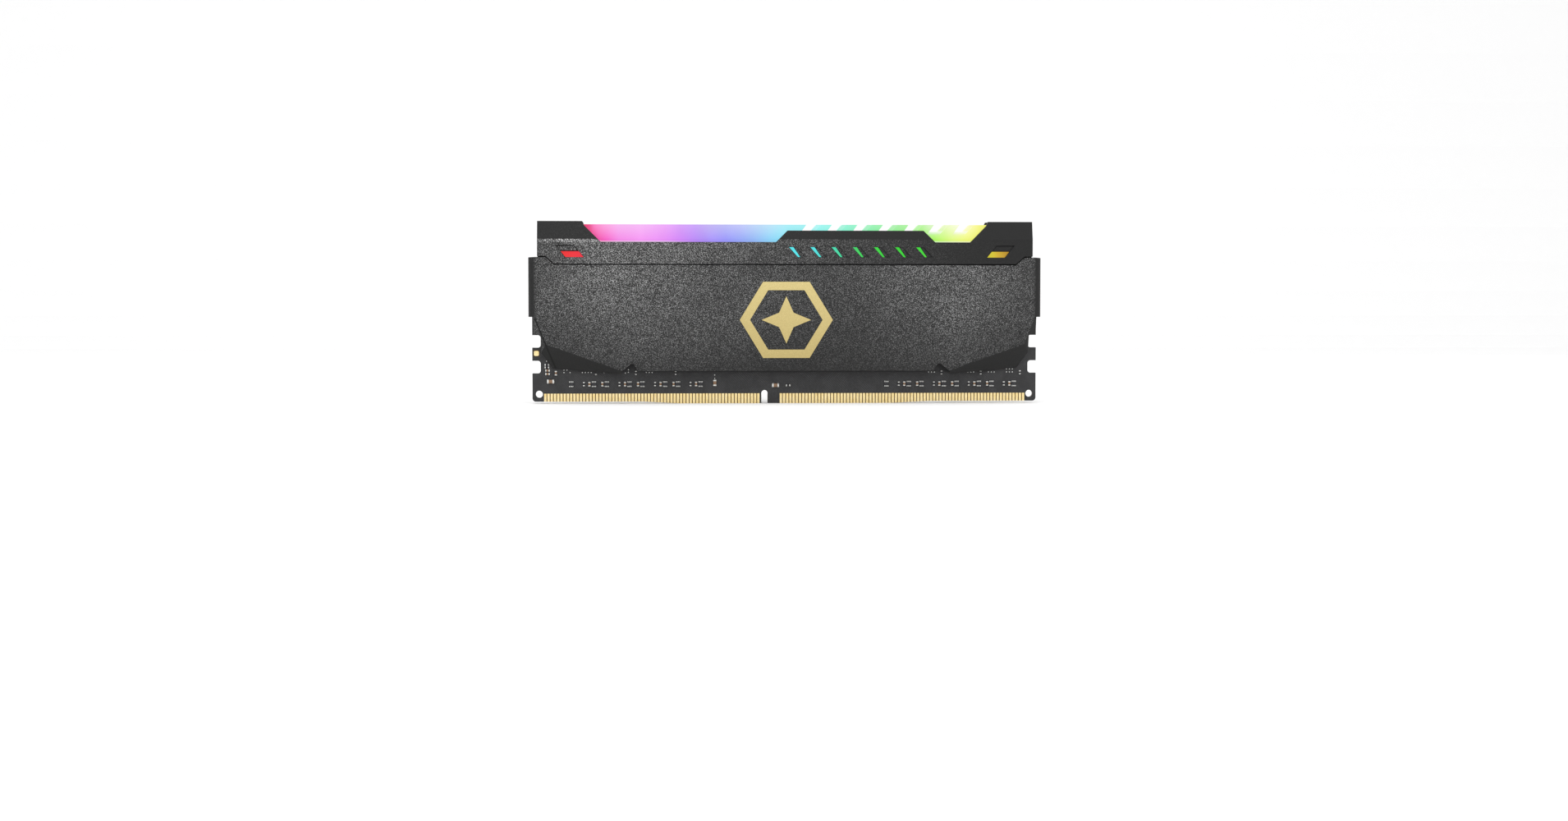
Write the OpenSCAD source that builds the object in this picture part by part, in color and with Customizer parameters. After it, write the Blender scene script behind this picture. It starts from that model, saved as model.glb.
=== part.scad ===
// Desktop memory module: circuit board, memory chips, heat spreaders and a lit top bar.
// X runs along the board, Y through its thickness with the front toward -Y, and Z up from
// the contacts. The origin is the middle of the board's thickness and length, at the lowest
// point of the contact edge. "Depth" is a distance from the board's mid-plane, front or rear.

/* [Board] */
// Length of the circuit board
board_len = 133.35; // [133:0.05:134]
// Height of the circuit board
board_h = 31.25; // [30:0.05:32]
// Thickness of the circuit board
board_t = 1.4; // [1.2:0.1:1.6]
// How much higher the ends of the contact edge sit than its middle
edge_step = 0.5; // [0.2:0.1:0.8]
// Height of each latch notch in the side edges
latch_notch_h = 3.3; // [2.9:0.1:3.4]
// Depth of each latch notch
latch_notch_d = 2.2; // [1.5:0.1:2.4]
// Diameter of the hole in each lower corner
corner_hole_d = 1.85; // [1.5:0.05:2]

/* [Contacts] */
// Distance between neighbouring contacts
contact_pitch = 0.85; // [0.8:0.05:0.85]
// Width of one contact
contact_w = 0.6; // [0.4:0.05:0.65]
// Height of the top of the contacts
contact_top = 2.6; // [2.2:0.05:2.8]

/* [Heat spreader] */
// Length over the bent ends of the spreaders
spreader_len = 135.1; // [135:0.1:136]
// Thickness over both spreaders
spreader_over = 8; // [7.8:0.1:8.4]
// Thickness of the aluminium plate
plate_t = 1.2; // [1:0.1:1.4]
// Tilt of the bevelled lower corners
corner_tilt = 27; // [20:1:30]
// Tilt of the bevelled lower side edges
side_tilt = 35; // [30:1:42]

/* [Top frame] */
// Height of the corner blocks
frame_top = 47.85; // [47.5:0.05:48.5]
// Height of the frame between the blocks
frame_low = 42.4; // [42.2:0.1:42.6]
// Height of the middle block
frame_mid = 45.45; // [45:0.05:46]
// How far the frame stands out in front of the plate
frame_proud = 0.25; // [0.1:0.05:0.4]
// How far the top of the blocks leans inward
block_lean = 1.2; // [0.8:0.1:1.4]

/* [Light bar] */
// Height of the top of the light bar
bar_top = 47.05; // [46.8:0.05:47.2]
// Width of each slanted notch in the light bar, at its floor
bar_notch_w = 2.35; // [1.5:0.05:2.5]
// Distance between neighbouring notches
bar_notch_pitch = 6.76; // [6.5:0.02:6.9]

/* [Chips] */
// Width of one memory chip
chip_w = 7.5; // [7:0.1:8]
// Height of one memory chip
chip_h = 11; // [10:0.1:11]
// Distance between neighbouring memory chips
chip_pitch = 9.3; // [9:0.05:9.3]

/* [Hidden] */
$fn = 48;
chips_per_side = 8;
led_count = 8;
chip_ids = [1 : chips_per_side];
led_ids = [1 : led_count];

// Board
half_len = board_len / 2;
board_face = board_t / 2;
ramp_inner = 27.63;                     // where the contact edge starts to rise
ramp_outer = 37.83;                     // where it has risen by edge_step
board_corner_r = 0.9;
latch_notch_r = 0.75;
latch_notch_z = [7.95, 14.7];           // lower edge of each latch notch
corner_hole_x = half_len - 1.78;
corner_hole_z = 2.45;
key_x = -5.6;
key_w = 1.65;
key_top = 3.45;
through = 1;                            // how far a cutter runs past what it cuts

// Contacts
copper_t = 0.05;
contact_inset = 3.35;                   // from the board's side edge to the first contact
contacts_left = 67;
contacts_right = 77;
contact_x = concat(
    [for (i = [0 : contacts_left - 1]) -half_len + contact_inset + i * contact_pitch],
    [for (i = [0 : contacts_right - 1]) half_len - contact_inset - i * contact_pitch]
);
fiducial = 1.3;
fiducial_r = 0.35;
fiducial_x = -65.6;
fiducial_z = 13.2;

// Chips: a package on a slightly smaller field of solder balls
ball_t = 0.25;
ball_inset = 0.4;
package_t = 0.85;
chip_face = board_face + ball_t + package_t;
chip_bottom = 13.5;
chip_first_x = 29.6;
chips_per_bank = chips_per_side / 2;
leadframe_t = 0.1;
config_chip = [-6, 17, 3, 2, 0.65];     // X, lower edge, width, height and thickness
config_inset = 0.2;
controller_chip = [6, 17, 5, 5, 0.75];
controller_inset = 0.3;

// LEDs, side-firing, at the top edge of the board
led_w = 3.2;
led_t = 0.9;
led_h = 1.6;
led_pitch = 15.4;
led_bottom = board_h - 0.1 - led_h;

// Small parts on the strip below the spreader: two banks of groups that repeat
bank_x = [-53.2, 30.05];                // first resistor of each bank
group_pitch = 9.35;
last_group = 3;
cap_offsets = [1.46, 4.88];             // from a group's resistor to its capacitors
array_offsets = [2.66, 6.05];           // and to its resistor arrays
strip_z = 5.1;                          // middle height of the lower row
upper_z = 8.05;                         // middle height of the upper row
upper_bank_x = [-50, 41.45];
upper_pitch = 10.47;
upper_last = 2;
cap_size = [0.6, 1.1, 0.5];             // width, height and thickness
flat_cap_size = [1.1, 0.6, 0.5];        // the same, lying on its side
large_cap_size = [1.8, 1, 0.7];
tall_cap_size = [0.85, 1.6, 0.6];
resistor_size = [0.5, 1, 0.35];
small_resistor_size = [0.45, 0.95, 0.3];
flat_resistor_size = [1.1, 0.5, 0.3];
array_size = [1.2, 1.5, 0.4];
corner_flat_caps = [[-62.7, 7.8], [-62.7, 8.7]];    // single parts, each placed by [X, Z]
corner_flat_resistors = [[-62.85, 9.5], [-62.85, 10.2]];
corner_cap = [-60.5, 8];
large_caps = [[-61.9, 5.8], [-2.7, 4.75]];
tall_cap = [-18.75, 5.4];
centre_resistor = [0.65, 4.7];

// Thermal pad
pad_bottom = 15.3;
pad_top = 24.6;
pad_half_len = 61.4;

// Spreader
plate_face = spreader_over / 2;
plate_back = plate_face - plate_t;
end_half = spreader_len / 2;
end_wall_t = 0.8;
end_outer_r = 1.8;
end_inner_r = 1;
tab_bottom = 22.78;
tab_top = 38.35;
board_gap = 0.05;
skirt_half = 66.3;                      // half length just below the end tabs
skirt_bottom = 18.05;
groove_z = 36.65;                       // seam between plate and frame
groove_end_z = 38.66;
groove_gap = 0.2;
seam_inner_x = 60.7;
seam_outer_x = 63.05;
plate_low = 8.57;
nick_foot_x = 43.4;
nick_peak_x = [40.8, 40.1];
nick_heel_x = 38.9;
nick_peak_z = 10.4;
nick_spur_z = 7.8;
nick_spur_w = 0.35;
corner_crease = [[-62.48, 15.47], [-nick_foot_x, plate_low + 0.2]];
side_crease = [[-65.88, 22.6], [-62.95, 15.3]];
corner_edge = [                         // lower right corner of the plate, from the skirt down
    [64.3, skirt_bottom], [64.28, 13.4], [63.25, 11.9], [62.4, 10.85], [61.4, 9.3], [54.7, 8.7],
    [nick_foot_x, nick_spur_z], [nick_foot_x - nick_spur_w, plate_low],
    [nick_peak_x[0], nick_peak_z], [nick_peak_x[1], nick_peak_z], [nick_heel_x, plate_low]
];
cutter = 80;

// Frame
frame_half = 65.15;
frame_wall_t = 1.25;
frame_face = plate_face + frame_proud;
frame_back = frame_face - frame_wall_t;
block_crease = 43.15;                   // where the blocks start to lean inward
lip_back = 2.2;                         // depth of the back of the lip behind the plate
tongue_face = plate_back - 0.05;
tongue_top = 39.2;
lip_bottom = 34.2;
lip_top = 37.2;
lip_half_len = frame_half - 0.05;
bridge_half_len = 60;                   // the part of the lip that joins the frame's wall
block_foot_x = 48.6;
block_slope_top = 46.8;                 // where a block's 45 degree end steepens
block_top_run = 0.4;                    // sideways run of the steep part
mid_left_x = -2.7;
mid_right_x = 39.28;
mid_rise = frame_mid - frame_low;
cap_t = 1.2;
cap_end_x = 54.9;
cap_gap = 0.2;                          // from the cap of a corner block to the light bar
recess_d = 0.35;
window_top = 41.5;
window_sill = 38.4;
window_lintel = 39.95;
window_w = 4.75;
window_x = 57.8;                        // lower outer corner
window_slant = 0.8;                     // sideways run for each unit of height
slit_count = 7;
slit_pitch = 5.58;
slit_x = 0.7;
slit_sill = 38.48;
slit_top = 41.1;
slit_slant = 0.9;
slit_recess_w = 2;
slit_top_w = 1.2;
slit_bottom_w = 0.65;

// Light bar
bar_half_len = 63.7;
bar_crown_half_len = 54.7;
bar_face = frame_back - 0.2;
bar_crown_face = bar_face - block_lean * (bar_top - block_crease) / (frame_top - block_crease);
bar_foot_face = lip_back - 0.1;
bar_foot_half_len = 59.8;
bar_bottom = 28.6;
bar_slot_depth = 1.65;
bar_slot_top = 32.3;
bar_notch_count = 7;
bar_notch_x = 4.06;                     // lower left corner of the first notch
bar_notch_z = 45.25;
bar_notch_lean = [0.75, 0.92];          // sideways run of its left and right walls
bar_step = [1.15, 0.95];                // reach of the shallow step right of and below a notch
bar_step_face = 1.6;                    // depth of the floor of that step
tape_bottom = 37.3;
tape_top = 38.2;
tape_half_len = 52;

// Printed and stuck-on marks
ink_t = 0.06;
emblem_x = 0;
emblem_z = 22;
emblem_w = 24.5;
emblem_h = 20;
label_size = [36, 12];
label_x = 40;
label_z = 25;

// Extrudes an outline drawn as [x, z] between two depths in front of the mid-plane.
module along_y(near, far) {
    translate([0, -near, 0])
        rotate([90, 0, 0])
            linear_extrude(height = far - near)
                children();
}

// Extrudes a section drawn as [depth, z] along the board, centred on it.
module along_x(length) {
    rotate([90, 0, -90])
        linear_extrude(height = length, center = true)
            children();
}

// A block given by its X and Z ranges and its near and far depth.
module block(x, z, near, far) {
    translate([x[0], -far, z[0]])
        cube([x[1] - x[0], far - near, z[1] - z[0]]);
}

module both_ends() {
    children();
    mirror([1, 0, 0]) children();
}

module on_rear() {
    mirror([0, 1, 0]) children();
}

// A parallelogram between two heights that leans to the right by slant for each unit of height.
module leaning(x, z, width, slant) {
    run = slant * (z[1] - z[0]);
    polygon([[x, z[0]], [x + width, z[0]], [x + width + run, z[1]], [x + run, z[1]]]);
}

// Height of the contact edge at a distance from the middle.
function edge_z(x) = edge_step * max(0, min(1, (abs(x) - ramp_inner) / (ramp_outer - ramp_inner)));

// ---------- Board ----------

module board_outline() {
    polygon([
        [-half_len, edge_step], [-ramp_outer, edge_step], [-ramp_inner, 0],
        [ramp_inner, 0], [ramp_outer, edge_step], [half_len, edge_step],
        [half_len, board_h], [-half_len, board_h]
    ]);
}

module latch_notch(z) {
    straight_d = latch_notch_d - latch_notch_r;
    translate([half_len - straight_d, z])
        square([straight_d + through, latch_notch_h]);
    translate([half_len - latch_notch_d, z + latch_notch_r])
        square([latch_notch_d, latch_notch_h - 2 * latch_notch_r]);
    for (corner_z = [z + latch_notch_r, z + latch_notch_h - latch_notch_r])
        translate([half_len - straight_d, corner_z])
            circle(r = latch_notch_r);
}

module corner_round() {
    translate([half_len - board_corner_r, edge_step + board_corner_r])
        difference() {
            translate([0, -board_corner_r - through])
                square([board_corner_r + through, board_corner_r + through]);
            circle(r = board_corner_r);
        }
}

module key_notch() {
    translate([key_x - key_w / 2, -through])
        square([key_w, key_top - key_w / 2 + through]);
    translate([key_x, key_top - key_w / 2])
        circle(d = key_w);
}

module board() {
    color("#2b2b2c")
        difference() {
            along_y(-board_face, board_face)
                difference() {
                    board_outline();
                    both_ends() {
                        for (z = latch_notch_z) latch_notch(z);
                        corner_round();
                    }
                    key_notch();
                }
            both_ends()
                translate([corner_hole_x, 0, corner_hole_z])
                    rotate([90, 0, 0])
                        cylinder(d = corner_hole_d, h = board_t + 2 * through, center = true);
        }
}

module edge_contacts() {
    color("#e0bf6c")
        for (x = contact_x)
            block([x - contact_w / 2, x + contact_w / 2], [edge_z(x), contact_top],
                board_face, board_face + copper_t);
}

module fiducial_pad() {
    flat = fiducial / 2 - fiducial_r;
    color("#e0bf6c")
        along_y(board_face, board_face + copper_t)
            translate([fiducial_x, fiducial_z]) {
                square([fiducial, 2 * flat], center = true);
                square([2 * flat, fiducial], center = true);
                for (x = [-flat, flat])
                    for (z = [-flat, flat])
                        translate([x, z])
                            circle(r = fiducial_r);
            }
}

// ---------- Chips ----------

// Middle of memory chip i, counted from the left: two banks either side of the middle.
function chip_centre(i) =
    i <= chips_per_bank
        ? -chip_first_x - (chips_per_bank - i) * chip_pitch
        : chip_first_x + (i - chips_per_bank - 1) * chip_pitch;

// A flat package given by [X, lower edge, width, height, thickness], standing off the board on
// solder that is set in from its sides.
module package(size, stand_off, inset) {
    x = [size[0] - size[2] / 2, size[0] + size[2] / 2];
    z = [size[1], size[1] + size[3]];
    block([x[0] + inset, x[1] - inset], [z[0] + inset, z[1] - inset],
        board_face, board_face + stand_off);
    block(x, z, board_face + stand_off, board_face + stand_off + size[4]);
}

module memory_chip(i) {
    color("#1c1c1e")
        package([chip_centre(i), chip_bottom, chip_w, chip_h, package_t], ball_t, ball_inset);
}

module config_memory_chip() {
    color("#1c1c1e") package(config_chip, leadframe_t, config_inset);
}

module light_controller_chip() {
    color("#1c1c1e") package(controller_chip, leadframe_t, controller_inset);
}

module colour_led(i) {
    x = (i - (led_count + 1) / 2) * led_pitch;
    color("white")
        block([x - led_w / 2, x + led_w / 2], [led_bottom, led_bottom + led_h],
            board_face, board_face + led_t);
}

// ---------- Small parts ----------

// A part centred on place, [X, Z], of a size given as width, height and thickness.
module small_part(place, size) {
    block([place[0] - size[0] / 2, place[0] + size[0] / 2],
        [place[1] - size[1] / 2, place[1] + size[1] / 2],
        board_face, board_face + size[2]);
}

// X of one part in every group of both banks, from a first to a last group.
function in_groups(offset, first, last) =
    [for (start = bank_x) for (i = [first : last]) start + offset + i * group_pitch];

module capacitors() {
    in_strip = concat(
        in_groups(cap_offsets[0], 0, last_group), in_groups(cap_offsets[1], 0, last_group - 1)
    );
    color("#b89a7c") {
        for (x = in_strip) small_part([x, strip_z], cap_size);
        for (place = corner_flat_caps) small_part(place, flat_cap_size);
        small_part(corner_cap, cap_size);
        for (place = large_caps) small_part(place, large_cap_size);
        small_part(tall_cap, tall_cap_size);
    }
}

module resistors() {
    color("#303034") {
        for (x = in_groups(0, 0, last_group)) small_part([x, strip_z], resistor_size);
        for (start = upper_bank_x)
            for (i = [0 : upper_last])
                small_part([start + i * upper_pitch, upper_z], small_resistor_size);
        for (place = corner_flat_resistors) small_part(place, flat_resistor_size);
        small_part(centre_resistor, flat_resistor_size);
    }
}

module resistor_arrays() {
    in_strip = concat(
        in_groups(array_offsets[0], 0, last_group), in_groups(array_offsets[1], -1, last_group - 1)
    );
    color("#303034")
        for (x = in_strip) small_part([x, strip_z], array_size);
}

// ---------- Heat spreader ----------

module plate_outline() {
    right = concat(
        [
            [seam_inner_x, groove_z - groove_gap], [seam_outer_x, groove_end_z - groove_gap],
            [frame_half, groove_end_z - groove_gap], [end_half, tab_top],
            [end_half, tab_bottom], [skirt_half, tab_bottom], [skirt_half, skirt_bottom]
        ],
        corner_edge
    );
    left = [for (i = [len(right) - 1 : -1 : 0]) [-right[i][0], right[i][1]]];
    polygon(concat(right, left));
}

// Section across X and Y with rounded front corners, as tall as the spreader.
module rounded_section(half_width, face, radius) {
    linear_extrude(height = tab_top + through) {
        translate([-half_width, radius - face])
            square([2 * half_width, face - radius]);
        translate([radius - half_width, -face])
            square([2 * (half_width - radius), face]);
        for (side = [-1, 1])
            translate([side * (half_width - radius), radius - face])
                circle(r = radius);
    }
}

// Everything in front of a plane that falls away from a crease, set back by an inset.
module crease_cut(crease, tilt, inset) {
    run = crease[1] - crease[0];
    translate([crease[0][0], -plate_face, crease[0][1]])
        rotate([0, -atan2(run[1], run[0]), 0])
            rotate([tilt, 0, 0])
                translate([-cutter / 2, -cutter + inset, -cutter / 2])
                    cube(cutter);
}

module crease_cuts(inset) {
    both_ends() {
        crease_cut(corner_crease, corner_tilt, inset);
        intersection() {
            crease_cut(side_crease, side_tilt, inset);
            block([-cutter, cutter], [-cutter, tab_bottom], -cutter, cutter);
        }
    }
}

// The hollow behind the plate, following its bevels at the plate's thickness.
module plate_hollow() {
    difference() {
        rounded_section(end_half - end_wall_t, plate_back, end_inner_r);
        crease_cuts(plate_t);
        both_ends()
            block([frame_half, end_half], [tab_top - end_wall_t, tab_top + through],
                0, plate_face);
    }
}

module heat_spreader() {
    color("#3c3c3e")
        difference() {
            intersection() {
                along_y(0, plate_face) plate_outline();
                rounded_section(end_half, plate_face, end_outer_r);
            }
            crease_cuts(0);
            plate_hollow();
            block([-end_half, end_half], [0, tab_bottom], -through, board_face + board_gap);
        }
}

module thermal_pad() {
    color("#8a8f98")
        block([-pad_half_len, pad_half_len], [pad_bottom, pad_top], chip_face, plate_back);
}

// ---------- Top frame ----------

module frame_outline() {
    block_bend_x = block_foot_x + block_slope_top - frame_low;
    block_top_x = block_bend_x + block_top_run;
    polygon([
        [-frame_half, groove_end_z], [-seam_outer_x, groove_end_z], [-seam_inner_x, groove_z],
        [seam_inner_x, groove_z], [seam_outer_x, groove_end_z], [frame_half, groove_end_z],
        [frame_half, frame_top], [block_top_x, frame_top], [block_bend_x, block_slope_top],
        [block_foot_x, frame_low], [mid_right_x, frame_low],
        [mid_right_x - mid_rise, frame_mid], [mid_left_x + mid_rise, frame_mid],
        [mid_left_x, frame_low], [-block_foot_x, frame_low], [-block_bend_x, block_slope_top],
        [-block_top_x, frame_top], [-frame_half, frame_top]
    ]);
}

// Section of the frame filled from the mid-plane out to a face, leaning in above the crease.
module leaning_section(face, bottom, top) {
    polygon([
        [0, bottom], [face, bottom], [face, block_crease], [face - block_lean, top], [0, top]
    ]);
}

module frame_hollow() {
    cap_bottom = frame_top - cap_t;
    difference() {
        along_x(2 * (frame_half - frame_wall_t))
            leaning_section(frame_back, groove_z - through, frame_top);
        both_ends()
            block([cap_end_x, frame_half], [cap_bottom, frame_top + through], 0, frame_face);
    }
}

module window_cut() {
    along_y(frame_face - recess_d, frame_face + through)
        leaning(-window_x, [window_sill, window_top], window_w, -window_slant);
    along_y(0, frame_face + through)
        leaning(-window_x, [window_sill, window_lintel], window_w, -window_slant);
}

module slit_cut(x) {
    run = slit_slant * (slit_top - slit_sill);
    along_y(frame_face - recess_d, frame_face + through)
        leaning(x + run, [slit_sill, slit_top], slit_recess_w, -slit_slant);
    along_y(0, frame_face + through)
        polygon([
            [x, slit_top], [x + slit_top_w, slit_top],
            [x + run + slit_bottom_w, slit_sill], [x + run, slit_sill]
        ]);
}

// The lip that hooks behind the plate and closes the seam from inside, with a tongue that
// carries each end wall down behind it.
module frame_lip() {
    block([-bridge_half_len, bridge_half_len], [lip_bottom, lip_top], lip_back, plate_back);
    block([-bridge_half_len, bridge_half_len], [groove_z, lip_top], lip_back, frame_back);
    block([-lip_half_len, lip_half_len], [lip_bottom, lip_top], lip_back, tongue_face);
    both_ends()
        block([bar_half_len + board_gap, lip_half_len], [lip_bottom, tongue_top],
            0, tongue_face);
}

module top_frame() {
    color("#38383a")
        difference() {
            union() {
                difference() {
                    intersection() {
                        along_y(0, frame_face) frame_outline();
                        along_x(2 * frame_half)
                            leaning_section(frame_face, groove_z, frame_top);
                    }
                    frame_hollow();
                }
                frame_lip();
            }
            both_ends() window_cut();
            for (i = [0 : slit_count - 1]) slit_cut(slit_x + i * slit_pitch);
        }
}

// ---------- Light bar ----------

module bar_section() {
    polygon([
        [bar_face, lip_top], [bar_face, block_crease], [bar_crown_face, bar_top],
        [-bar_crown_face, bar_top], [-bar_face, block_crease], [-bar_face, lip_top]
    ]);
}

module bar_foot() {
    difference() {
        along_x(2 * bar_foot_half_len)
            translate([-bar_foot_face, bar_bottom])
                square([2 * bar_foot_face, lip_top - bar_bottom]);
        along_x(2 * bar_foot_half_len + through)
            translate([-bar_slot_depth, bar_bottom - through])
                square([2 * bar_slot_depth, bar_slot_top - bar_bottom + through]);
    }
}

// The outline of a notch, its right wall and floor moved out by a reach.
module notch_shape(x, reach) {
    rise = bar_top + through - bar_notch_z;
    right = x + bar_notch_w + reach[0];
    polygon([
        [x - bar_notch_lean[0] * reach[1], bar_notch_z - reach[1]],
        [right - bar_notch_lean[1] * reach[1], bar_notch_z - reach[1]],
        [right + bar_notch_lean[1] * rise, bar_notch_z + rise],
        [x + bar_notch_lean[0] * rise, bar_notch_z + rise]
    ]);
}

module bar_notch(x) {
    along_y(-frame_face, frame_face) notch_shape(x, [0, 0]);
    for (near = [bar_step_face, -frame_face])
        along_y(near, near + frame_face - bar_step_face) notch_shape(x, bar_step);
}

module light_bar() {
    color("#e6d8ff")
        difference() {
            union() {
                along_x(2 * bar_half_len) bar_section();
                bar_foot();
            }
            both_ends()
                block([bar_crown_half_len, bar_half_len + through],
                    [frame_top - cap_t - cap_gap, bar_top + through], -frame_face, frame_face);
            for (i = [0 : bar_notch_count - 1]) bar_notch(bar_notch_x + i * bar_notch_pitch);
        }
}

module bar_tape() {
    color("#d8d8d4")
        block([-tape_half_len, tape_half_len], [tape_bottom, tape_top], bar_face, frame_back);
}

// ---------- Marks ----------

// Points of a hexagon with its corners to the left and right.
function hexagon(width, height) = [
    [-width / 2, 0], [-width / 4, height / 2], [width / 4, height / 2],
    [width / 2, 0], [width / 4, -height / 2], [-width / 4, -height / 2]
];

// A hexagon ring round a four-pointed star.
module emblem_shape() {
    ring_t = 0.78;
    star_w = 13;
    star_h = 12.4;
    waist = 1.9;
    difference() {
        polygon(hexagon(emblem_w, emblem_h));
        polygon(hexagon(emblem_w * ring_t, emblem_h * ring_t));
    }
    polygon([
        [-star_w / 2, 0], [-waist, waist], [0, star_h / 2], [waist, waist],
        [star_w / 2, 0], [waist, -waist], [0, -star_h / 2], [-waist, -waist]
    ]);
}

module emblem() {
    color("#e0c46c")
        along_y(plate_face, plate_face + ink_t)
            translate([emblem_x, emblem_z]) emblem_shape();
}

module rear_label() {
    color("#dcdcd8")
        block([label_x - label_size[0] / 2, label_x + label_size[0] / 2],
            [label_z - label_size[1] / 2, label_z + label_size[1] / 2],
            -plate_face - ink_t, -plate_face);
}

board();
edge_contacts();  // edge_contacts_front
on_rear() edge_contacts();  // edge_contacts_rear
fiducial_pad();
for (i = chip_ids)
    memory_chip(i);
for (i = chip_ids)
    on_rear() memory_chip(i);
config_memory_chip();
light_controller_chip();
for (i = led_ids)
    colour_led(i);
capacitors();  // capacitors_front
on_rear() capacitors();  // capacitors_rear
resistors();  // resistors_front
on_rear() resistors();  // resistors_rear
resistor_arrays();  // resistor_arrays_front
on_rear() resistor_arrays();  // resistor_arrays_rear
thermal_pad();  // thermal_pad_front
on_rear() thermal_pad();  // thermal_pad_rear
light_bar();
bar_tape();  // bar_tape_front
on_rear() bar_tape();  // bar_tape_rear
heat_spreader();  // heat_spreader_front
on_rear() heat_spreader();  // heat_spreader_rear
top_frame();  // top_frame_front
on_rear() top_frame();  // top_frame_rear
emblem();  // emblem_front
on_rear() emblem();  // emblem_rear
rear_label();
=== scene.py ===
import math

import bmesh
import bpy
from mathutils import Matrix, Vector


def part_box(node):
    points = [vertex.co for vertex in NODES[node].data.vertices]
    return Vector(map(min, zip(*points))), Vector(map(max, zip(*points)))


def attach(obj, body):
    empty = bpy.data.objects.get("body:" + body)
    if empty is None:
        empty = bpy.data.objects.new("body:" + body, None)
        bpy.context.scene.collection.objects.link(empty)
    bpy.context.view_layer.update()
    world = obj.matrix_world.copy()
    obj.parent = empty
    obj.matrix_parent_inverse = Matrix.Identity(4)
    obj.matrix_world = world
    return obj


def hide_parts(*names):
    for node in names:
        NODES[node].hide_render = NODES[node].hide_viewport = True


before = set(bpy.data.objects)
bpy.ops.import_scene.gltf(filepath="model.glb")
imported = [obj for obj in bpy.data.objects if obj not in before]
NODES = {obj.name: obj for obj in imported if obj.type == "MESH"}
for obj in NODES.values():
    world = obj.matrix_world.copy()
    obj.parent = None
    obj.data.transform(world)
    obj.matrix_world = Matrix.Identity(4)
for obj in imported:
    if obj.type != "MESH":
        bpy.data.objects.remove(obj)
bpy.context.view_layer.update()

# Looks of a desktop memory module. Everything is in metres in the part's own frame: X along
# the board, the front toward -Y, Z up from the contact edge. MM turns millimetres to metres.
MM = 0.001
SIDES = {"front": -1, "rear": 1}

BOARD_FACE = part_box("board")[1].y


# ---------------------------------------------------------------- node helpers

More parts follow.
